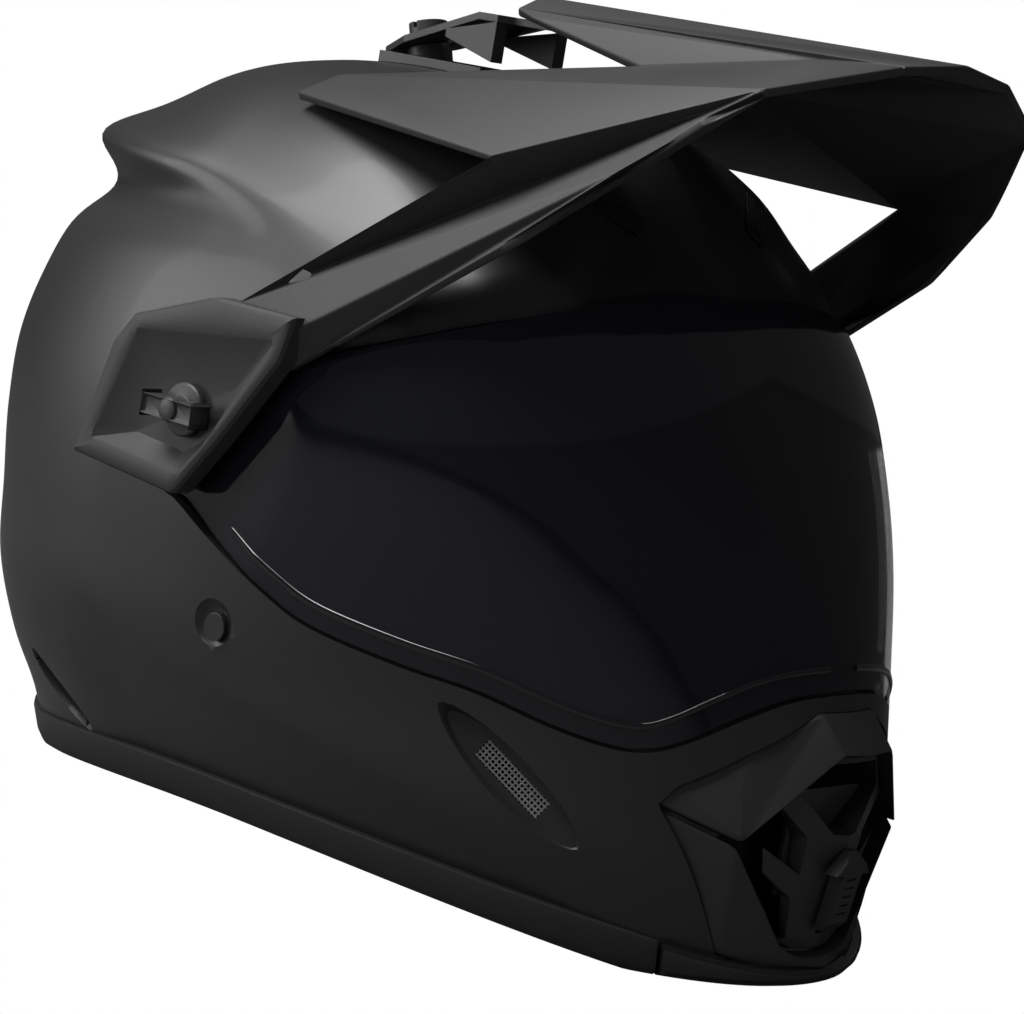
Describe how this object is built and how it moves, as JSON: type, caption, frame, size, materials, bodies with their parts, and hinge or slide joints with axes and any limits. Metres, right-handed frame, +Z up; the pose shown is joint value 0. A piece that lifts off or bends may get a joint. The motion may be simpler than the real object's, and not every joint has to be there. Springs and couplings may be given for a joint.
{
  "type": "dual sport helmet",
  "caption": "Dual sport helmet with a tilting clear shield, a sharply folded sun peak on side pivots, a chin vent with a slider, a foam liner, cheek pads and a ring-fastened chin strap.",
  "frame": {"origin": "The middle of the bounding box in X and Y, at the lowest point of the rim in Z.", "axes": "+Z is up, the face looks along -Y, the wearer's left is +X."},
  "size_m": [0.2818, 0.3684, 0.302],
  "materials": {
    "shell_plastic": "satin charcoal paint over moulded plastic",
    "peak_plastic": "fine-grained matte black",
    "vent_plastic": "satin black moulding",
    "shield_clear": "glossy smoke-tinted polycarbonate",
    "gloss_black": "glossy black",
    "rim_rubber": "soft matte rubber",
    "foam": "pressed beads, matt",
    "lining": "knitted cloth over soft foam",
    "webbing": "tight woven webbing",
    "steel": "brushed",
    "brass_insert": "knurled, turned",
    "mesh": "matte black"
  },
  "bodies": {
    "helmet": {"outer_shell": "shell_plastic", "foam_crown_liner": "foam", "foam_chin_liner": "foam", "foam_cheek_block_right": "foam", "foam_cheek_block_left": "foam", "comfort_liner": "lining", "cheek_pad_right": "lining", "cheek_pad_left": "lining", "neck_roll": "lining", "base_trim": "rim_rubber", "chin_bumper": "gloss_black", "eye_port_seal": "rim_rubber", "pivot_base_right": "vent_plastic", "pivot_base_left": "vent_plastic", "pivot_insert_right": "brass_insert", "pivot_insert_left": "brass_insert", "crown_bracket": "vent_plastic", "crown_insert": "brass_insert", "mouth_vent_cowl": "vent_plastic", "mouth_vent_frame": "vent_plastic", "mouth_vent_grille": "vent_plastic", "cheek_vent_mesh_right": "mesh", "cheek_vent_mesh_left": "mesh", "rear_vent_mesh_right": "mesh", "rear_vent_mesh_left": "mesh", "forehead_vent_mesh_right": "mesh", "forehead_vent_mesh_left": "mesh", "strap_anchor_right": "steel", "strap_anchor_left": "steel", "strap_rivets": "vent_plastic", "chin_strap_right": "webbing", "chin_strap_left": "webbing", "strap_sleeve_right": "lining", "strap_sleeve_left": "lining", "strap_snap": "gloss_black"},
    "shield": {"shield_lens": "shield_clear"},
    "sun_peak": {"peak": "peak_plastic", "peak_tail_mount": "vent_plastic"},
    "knob_right": {"side_knob_right": "vent_plastic"},
    "knob_left": {"side_knob_left": "vent_plastic"},
    "tail_screw": {"crown_screw": "vent_plastic"},
    "vent_slide": {"mouth_vent_slider": "vent_plastic", "mouth_vent_shutter": "vent_plastic"},
    "ring_lower": {"d_ring_lower": "steel"},
    "ring_upper": {"d_ring_upper": "steel"}
  },
  "joints": [
    {"name": "shield_hinge", "type": "hinge", "parent": "helmet", "child": "shield", "pos_m": [0, 0.01824, 0.15], "axis": [-1, 0, 0], "range_deg": [0, 32]},
    {"name": "peak_hinge", "type": "hinge", "parent": "helmet", "child": "sun_peak", "pos_m": [0, 0.01824, 0.15], "axis": [-1, 0, 0], "range_deg": [-2, 2]},
    {"name": "knob_right_turn", "type": "hinge", "parent": "helmet", "child": "knob_right", "pos_m": [-0.135, 0.01824, 0.15], "axis": [-1, 0, 0], "continuous": true},
    {"name": "knob_left_turn", "type": "hinge", "parent": "helmet", "child": "knob_left", "pos_m": [0.135, 0.01824, 0.15], "axis": [1, 0, 0], "continuous": true},
    {"name": "tail_screw_turn", "type": "hinge", "parent": "helmet", "child": "tail_screw", "pos_m": [0, 0.06024, 0.278], "axis": [0, 0.3117, 0.9502], "continuous": true},
    {"name": "vent_slide_travel", "type": "slide", "parent": "helmet", "child": "vent_slide", "axis": [0, 0.1504, -0.9886], "range_m": [0, 0.008]},
    {"name": "ring_lower_turn", "type": "hinge", "parent": "helmet", "child": "ring_lower", "pos_m": [0.025, -0.00076, 0.007], "axis": [0, 1, 0], "range_deg": [-3, 0]},
    {"name": "ring_upper_turn", "type": "hinge", "parent": "helmet", "child": "ring_upper", "pos_m": [0.031, -0.00076, 0.0114], "axis": [0, 1, 0], "range_deg": [0, 3]}
  ]
}
